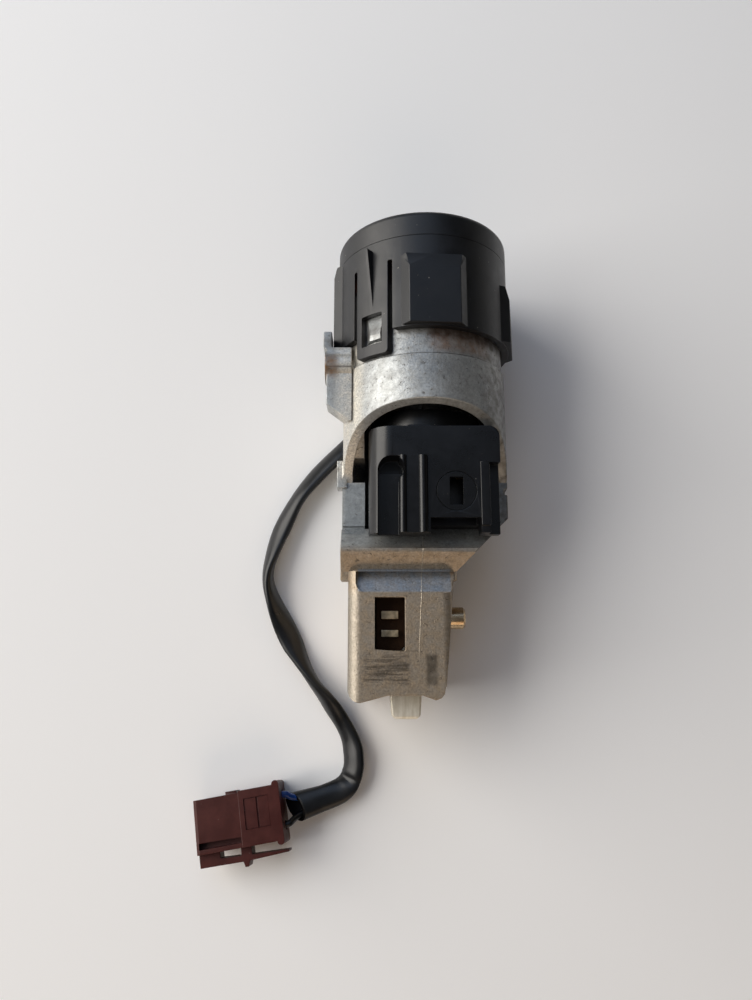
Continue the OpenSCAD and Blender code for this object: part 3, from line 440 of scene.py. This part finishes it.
def zincDieCast():
    # Zinc alloy as cast: a dull silver skin with fine grain, flow marks and pits, browned by age and grease,
    # with painted light, shade and reflections laid over it by place
    material, tree, shader = startMaterial("zincDieCast")
    where = addNode(tree, "TexCoord").outputs["Object"]
    place = addNode(tree, "SeparateXYZ", {"Vector": where})
    flow = {"Scale": 1 / (9 * mm), "Detail": 4, "Roughness": 0.6}  # flow marks 9 mm apart
    cloud = addNode(tree, "TexNoise", {"Vector": where, **flow})
    mottle = addNode(
        tree, "TexNoise", {"Vector": where, "Scale": 1 / (1.8 * mm), "Detail": 6, "Roughness": 0.7},
    )
    coarse = {"Scale": 1 / (0.45 * mm), "Detail": 3}  # large enough to show
    grain = addNode(tree, "TexNoise", {"Vector": where, **coarse})
    holes = {"Scale": 1 / (0.9 * mm), "Detail": 4, "Roughness": 0.6, "Distortion": 0.6}
    pitting = addNode(tree, "TexNoise", {"Vector": where, **holes})
    drag = addNode(tree, "Mapping", {"Vector": where, "Scale": (0.16, 1, 1)}).outputs[0]  # drawn along X
    smear = addNode(
        tree, "TexNoise", {"Vector": drag, "Scale": 1 / (0.8 * mm), "Detail": 5, "Roughness": 0.7},
    )
    light = addNode(tree, "MapRange", {"Value": cloud.outputs[0], "From Min": 0.3, "From Max": 0.7})
    tone = addNode(
        tree, "Mix", {0: light.outputs[0], 6: srgb("#9a9d9e"), 7: srgb("#bec0be")}, data_type="RGBA",
    )
    blotch = {"From Min": 0.42, "From Max": 0.66, "To Max": 0.6}
    patch = addNode(tree, "MapRange", {"Value": mottle.outputs[0], **blotch})
    tone = addNode(
        tree, "Mix", {0: patch.outputs[0], 6: tone.outputs[2], 7: srgb("#8b8a86")}, data_type="RGBA",
    )
    for name, mark in housingMarks.items():
        bands = [band(tree, place.outputs[axis], *mark[axis.lower()], mark["soft"]) for axis in "XYZ"]
        rag = smear if name == "scuffPanel" else mottle
        least = mark.get("least", 0.55) * mark["share"]
        span = {"From Min": 0.4, "From Max": 0.6, "To Min": least, "To Max": mark["share"]}
        ragged = addNode(tree, "MapRange", {"Value": rag.outputs[0], **span})
        share = together(tree, together(tree, *bands), ragged.outputs[0])
        tone = addNode(tree, "Mix", {0: share, 6: tone.outputs[2], 7: srgb(mark["tone"])}, data_type="RGBA")
    leaning = {0: place.outputs["Y"], 1: partingLine["lean"], 2: place.outputs["X"]}
    seam = addNode(tree, "Math", leaning, operation="MULTIPLY_ADD").outputs[0]
    wandering = {0: mottle.outputs[0], 1: partingLine["wander"] * mm, 2: seam}
    wander = addNode(tree, "Math", wandering, operation="MULTIPLY_ADD").outputs[0]
    line = together(
        tree, band(tree, wander, *partingLine["x"]), band(tree, place.outputs["Z"], *partingLine["z"]),
    )
    lowSeam = together(tree, line, band(tree, place.outputs["Y"], *partingLine["low"]))
    highSeam = together(tree, line, band(tree, place.outputs["Y"], *partingLine["high"]))
    broken = addNode(tree, "MapRange", {"Value": pitting.outputs[0], "From Min": 0.36, "From Max": 0.54})
    bright = together(tree, lowSeam, broken.outputs[0])
    tone = addNode(tree, "Mix", {0: bright, 6: tone.outputs[2], 7: srgb("#d3c8b4")}, data_type="RGBA")
    faint = addNode(tree, "Math", {0: highSeam, 1: 0.6}, operation="MULTIPLY")
    tone = addNode(
        tree, "Mix", {0: faint.outputs[0], 6: tone.outputs[2], 7: srgb("#4f4a44")}, data_type="RGBA",
    )
    sparkle = {"From Min": 0.3, "From Max": 0.7, "To Min": 0.74, "To Max": 1.2}
    speckle = addNode(tree, "MapRange", {"Value": grain.outputs[0], **sparkle})
    speckled = {0: 1.0, 6: tone.outputs[2], 7: speckle.outputs[0]}
    tone = addNode(tree, "Mix", speckled, data_type="RGBA", blend_type="MULTIPLY")
    sharpPits = {"From Min": 0.6, "From Max": 0.7, "To Max": 0.7}
    pits = addNode(tree, "MapRange", {"Value": pitting.outputs[0], **sharpPits})
    tone = addNode(
        tree, "Mix", {0: pits.outputs[0], 6: tone.outputs[2], 7: srgb("#4d4842")}, data_type="RGBA",
    )
    sheen = {"From Min": 0.3, "From Max": 0.7, "To Min": 0.34, "To Max": 0.54}
    dull = addNode(tree, "MapRange", {"Value": mottle.outputs[0], **sheen})
    skin = addNode(tree, "Math", {0: grain.outputs[0], 1: mottle.outputs[0]}, operation="ADD")
    sunk = addNode(tree, "Math", {0: pits.outputs[0], 1: -0.8, 2: skin.outputs[0]}, operation="MULTIPLY_ADD")
    relief = addNode(tree, "Math", {0: lowSeam, 1: 1.2, 2: sunk.outputs[0]}, operation="MULTIPLY_ADD")
    bump = addNode(tree, "Bump", {"Height": relief.outputs[0], "Strength": 0.65, "Distance": 0.07 * mm})
    tree.links.new(tone.outputs[2], shader.inputs["Base Color"])
    tree.links.new(dull.outputs[0], shader.inputs["Roughness"])
    tree.links.new(bump.outputs[0], shader.inputs["Normal"])
    shader.inputs["Metallic"].default_value = 0.58  # the rest is oxide, which scatters light as a paint does
    return material


def greasedZinc():
    # The bolt carrier: the same casting under old grease, rubbed clean on its ribs
    material, tree, shader = startMaterial("greasedZinc")
    where = addNode(tree, "TexCoord").outputs["Object"]
    place = addNode(tree, "SeparateXYZ", {"Vector": where})
    film = addNode(tree, "TexNoise", {"Vector": where, "Scale": 1 / (1.2 * mm), "Detail": 4})
    ribTops = band(tree, place.outputs["Z"], 24.7, 60, 0.3)  # they stand above 24.7 mm
    worn = addNode(
        tree, "MapRange", {"Value": film.outputs[0], "From Min": 0.3, "From Max": 0.6, "To Min": 0.5},
    )
    thick = addNode(
        tree, "Mix", {0: film.outputs[0], 6: srgb("#2c1d12"), 7: srgb("#4a3424")}, data_type="RGBA",
    )
    rubbed = together(tree, ribTops, worn.outputs[0])
    tone = addNode(tree, "Mix", {0: rubbed, 6: thick.outputs[2], 7: srgb("#cdb896")}, data_type="RGBA")
    dull = addNode(tree, "MapRange", {"Value": film.outputs[0], "To Min": 0.35, "To Max": 0.6})
    bump = addNode(tree, "Bump", {"Height": film.outputs[0], "Strength": 0.3, "Distance": 0.05 * mm})
    tree.links.new(tone.outputs[2], shader.inputs["Base Color"])
    tree.links.new(dull.outputs[0], shader.inputs["Roughness"])
    tree.links.new(bump.outputs[0], shader.inputs["Normal"])
    shader.inputs["Metallic"].default_value = 0.9
    return material


def mouldedPlastic(name, spec):
    # Injection-moulded plastic: fine matt grain, faint paler scuffs and a little dust
    material, tree, shader = startMaterial(name)
    where = addNode(tree, "TexCoord").outputs["Object"]
    scuff = addNode(tree, "TexNoise", {"Vector": where, "Scale": 1 / (5 * mm), "Detail": 6, "Roughness": 0.7})
    grain = addNode(tree, "TexNoise", {"Vector": where, "Scale": 1 / (spec["grit"] * mm), "Detail": 2})
    motes = addNode(tree, "TexNoise", {"Vector": where, "Scale": 1 / (0.7 * mm), "Detail": 1})
    worn = addNode(tree, "MapRange", {"Value": scuff.outputs[0], "From Min": 0.42, "From Max": 0.72})
    tone = addNode(
        tree, "Mix", {0: worn.outputs[0], 6: srgb(spec["deep"]), 7: srgb(spec["worn"])}, data_type="RGBA",
    )
    specks = {"From Min": 0.79, "From Max": 0.83, "To Max": spec["dust"]}
    dust = addNode(tree, "MapRange", {"Value": motes.outputs[0], **specks})
    tone = addNode(
        tree, "Mix", {0: dust.outputs[0], 6: tone.outputs[2], 7: srgb("#b7b2a8")}, data_type="RGBA",
    )
    sheen = {"From Min": 0.3, "From Max": 0.7, "To Min": spec["rough"] - 0.05, "To Max": spec["rough"] + 0.07}
    dull = addNode(tree, "MapRange", {"Value": scuff.outputs[0], **sheen})
    bump = addNode(tree, "Bump", {"Height": grain.outputs[0], "Strength": 0.22, "Distance": 0.03 * mm})
    tree.links.new(tone.outputs[2], shader.inputs["Base Color"])
    tree.links.new(dull.outputs[0], shader.inputs["Roughness"])
    tree.links.new(bump.outputs[0], shader.inputs["Normal"])
    shader.inputs["Specular IOR Level"].default_value = spec.get("gloss", 0.5)
    return material


def turnedMetal(name, spec):
    # Plain machined or drawn metal: fine streaks and a slight tarnish
    material, tree, shader = startMaterial(name)
    where = addNode(tree, "TexCoord").outputs["Object"]
    stretch = addNode(tree, "Mapping", {"Vector": where, "Scale": spec["stretch"]})
    streak = addNode(tree, "TexNoise", {"Vector": stretch.outputs[0], "Scale": 1 / (0.7 * mm), "Detail": 4})
    tarnish = addNode(tree, "TexNoise", {"Vector": where, "Scale": 1 / (3 * mm), "Detail": 3})
    both = addNode(tree, "Math", {0: streak.outputs[0], 1: tarnish.outputs[0]}, operation="MULTIPLY")
    share = addNode(tree, "MapRange", {"Value": both.outputs[0], "From Min": 0.12, "From Max": 0.4})
    tones = {6: srgb(spec["deep"]), 7: srgb(spec["bright"])}
    tone = addNode(tree, "Mix", {0: share.outputs[0], **tones}, data_type="RGBA")
    sheen = {"To Min": spec["rough"] - 0.08, "To Max": spec["rough"] + 0.12}
    dull = addNode(tree, "MapRange", {"Value": streak.outputs[0], **sheen})
    bump = addNode(tree, "Bump", {"Height": streak.outputs[0], "Strength": 0.15, "Distance": 0.02 * mm})
    tree.links.new(tone.outputs[2], shader.inputs["Base Color"])
    tree.links.new(dull.outputs[0], shader.inputs["Roughness"])
    tree.links.new(bump.outputs[0], shader.inputs["Normal"])
    shader.inputs["Metallic"].default_value = spec["metal"]
    return material


# Grit is the size of the grain in millimetres, drawn coarse enough to show
plastics = {
    "grainedBlackNylon": {
        "deep": "#050609", "worn": "#0c0e13", "rough": 0.44, "grit": 0.35, "dust": 0.5, "gloss": 0.62,
    },
    "satinBlackPbt": {"deep": "#060607", "worn": "#0d0d10", "rough": 0.3, "grit": 0.5, "dust": 0.35},
    "redBrownPbt": {
        "deep": "#3c110a", "worn": "#4b1b14", "rough": 0.42, "grit": 0.4, "dust": 0.25, "gloss": 0.3,
    },
    "darkGreyPvc": {"deep": "#0a0b0d", "worn": "#141517", "rough": 0.32, "grit": 0.8, "dust": 0.2},
    "blueInsulation": {"deep": "#0f4290", "worn": "#1a54a4", "rough": 0.3, "grit": 0.6, "dust": 0.1},
    "blackInsulation": {"deep": "#08080a", "worn": "#101012", "rough": 0.3, "grit": 0.6, "dust": 0.1},
    "naturalNylon": {"deep": "#d0ccbe", "worn": "#dcd9cf", "rough": 0.45, "grit": 0.5, "dust": 0.0},
}
# Stretch draws the streaks out along the axis whose share is small
metals = {
    "platedSteel": {
        "deep": "#a59d8c", "bright": "#d6d0c0", "rough": 0.36, "metal": 0.95, "stretch": (1, 0.12, 1),
    },
    "wornBolt": {
        "deep": "#d6cdb8", "bright": "#f6f0e2", "rough": 0.38, "metal": 0.4, "stretch": (1, 0.12, 1),
    },
    "polishedPin": {
        "deep": "#a5845c", "bright": "#e3cfae", "rough": 0.22, "metal": 0.8, "stretch": (0.12, 1, 1),
    },
    "machinedBrass": {
        "deep": "#a37f3f", "bright": "#cfae68", "rough": 0.3, "metal": 1, "stretch": (1, 0.12, 1),
    },
    "enamelledCopper": {
        "deep": "#7d3a1c", "bright": "#b3673b", "rough": 0.35, "metal": 1, "stretch": (1, 0.12, 1),
    },
}
finishes = {"zincDieCast": zincDieCast(), "greasedZinc": greasedZinc()}
finishes.update({name: mouldedPlastic(name, spec) for name, spec in plastics.items()})
finishes.update({name: turnedMetal(name, spec) for name, spec in metals.items()})
print("materials mixed:", len(finishes))

bySlot = {
    "zinc": "zincDieCast", "black_plastic": "grainedBlackNylon", "switch_plastic": "satinBlackPbt",
    "brass": "machinedBrass", "steel": "platedSteel", "copper": "enamelledCopper",
    "white_plastic": "naturalNylon", "brown_plastic": "redBrownPbt", "lead_sleeve": "darkGreyPvc",
    "blue_wire": "blueInsulation", "black_wire": "blackInsulation",
}
# Pieces that look unlike the rest of their slot
ownFinish = {"bolt_carrier": "greasedZinc", "bolt": "wornBolt", "retaining_pin": "polishedPin"}
slotOf = {part["node"]: part["material_slot"] for part in frame["record"]["subparts"]}


def dress(piece, node):
    slot = slotOf[node]
    piece.data.materials.clear()
    piece.data.materials.append(finishes[ownFinish.get(node, bySlot[slot])])


for node, piece in nodes.items():
    dress(piece, node)
for node, spec in softEdges.items():
    dress(pieces[spec["name"]], node)

dress(leadTube, "lead_sleeve")
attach(leadTube, "body")
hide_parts("lead_sleeve")
for name, node in (("blueWire", "wire_blue"), ("blackWire", "wire_black")):
    dress(wirePieces[name], node)
    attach(wirePieces[name], "body")
    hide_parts(node)
print("pieces dressed")

# Pale studio floor, in metres
ground = {"size": 2.4, "paint": "#fbfbfb", "rough": 0.9}
bpy.ops.mesh.primitive_plane_add(size=ground["size"])
floor = bpy.context.object
floor.name = "floor"
floorPaint, tree, shader = startMaterial("paleFloor")
shader.inputs["Base Color"].default_value = srgb(ground["paint"])
shader.inputs["Roughness"].default_value = ground["rough"]
floor.data.materials.append(floorPaint)

# Soft lamps in metres and watts, all aimed at the middle of the lock
studio = {
    "window": {"place": (-1.1, 0.24, 0.68), "size": (1.4, 1.2), "watts": 23, "tint": "#fffbf5"},
    "sky": {"place": (-0.14, 0.5, 0.6), "size": (0.6, 0.6), "watts": 1.0, "tint": "#c6ddff"},
    "ceiling": {"place": (0.0, -0.05, 0.9), "size": (0.9, 0.9), "watts": 0.4, "tint": "#dce8fb"},
    "front": {"place": (0.0, -0.6, 0.35), "size": (0.6, 0.35), "watts": 0.85, "tint": "#ffe2c4"},
}
lampAim = Vector((0, 0, 0.02))
for name, lamp in studio.items():
    bpy.ops.object.light_add(type="AREA", location=lamp["place"])
    light = bpy.context.object
    light.name = name
    light.data.shape = "RECTANGLE"
    light.data.size, light.data.size_y = lamp["size"]
    light.data.energy = lamp["watts"]
    light.data.color = srgb(lamp["tint"])[:3]
    light.rotation_euler = (lampAim - Vector(lamp["place"])).to_track_quat("-Z", "Y").to_euler()

# The world is dim, but pale near the horizon where the camera sees it or a surface mirrors it
horizon = {"paint": "#d9d6d0", "dim": 0.05, "pale": 0.7, "mirrored": 0.25, "fadesFrom": 0.3, "fadesTo": 0.15}
world = bpy.data.worlds.new("studio")
bpy.context.scene.world = world
world.use_nodes = True
sky = world.node_tree
backdrop = sky.nodes["Background"]
backdrop.inputs["Color"].default_value = srgb(horizon["paint"])
ray = addNode(sky, "LightPath").outputs
mirrored = addNode(sky, "Math", {0: ray["Is Glossy Ray"], 1: ray["Is Transmission Ray"]}, operation="MAXIMUM")
shown = {0: mirrored.outputs[0], 1: horizon["mirrored"], 2: ray["Is Camera Ray"]}
seen = addNode(sky, "Math", shown, operation="MULTIPLY_ADD")
toward = addNode(sky, "SeparateXYZ", {"Vector": addNode(sky, "TexCoord").outputs["Generated"]})
fade = {"From Min": horizon["fadesFrom"], "From Max": horizon["fadesTo"], "To Max": horizon["pale"]}
low = addNode(sky, "MapRange", {"Value": toward.outputs["Z"], **fade})
glow = addNode(
    sky, "Math", {0: seen.outputs[0], 1: low.outputs[0], 2: horizon["dim"]}, operation="MULTIPLY_ADD",
)
sky.links.new(glow.outputs[0], backdrop.inputs["Strength"])
print("studio lit")
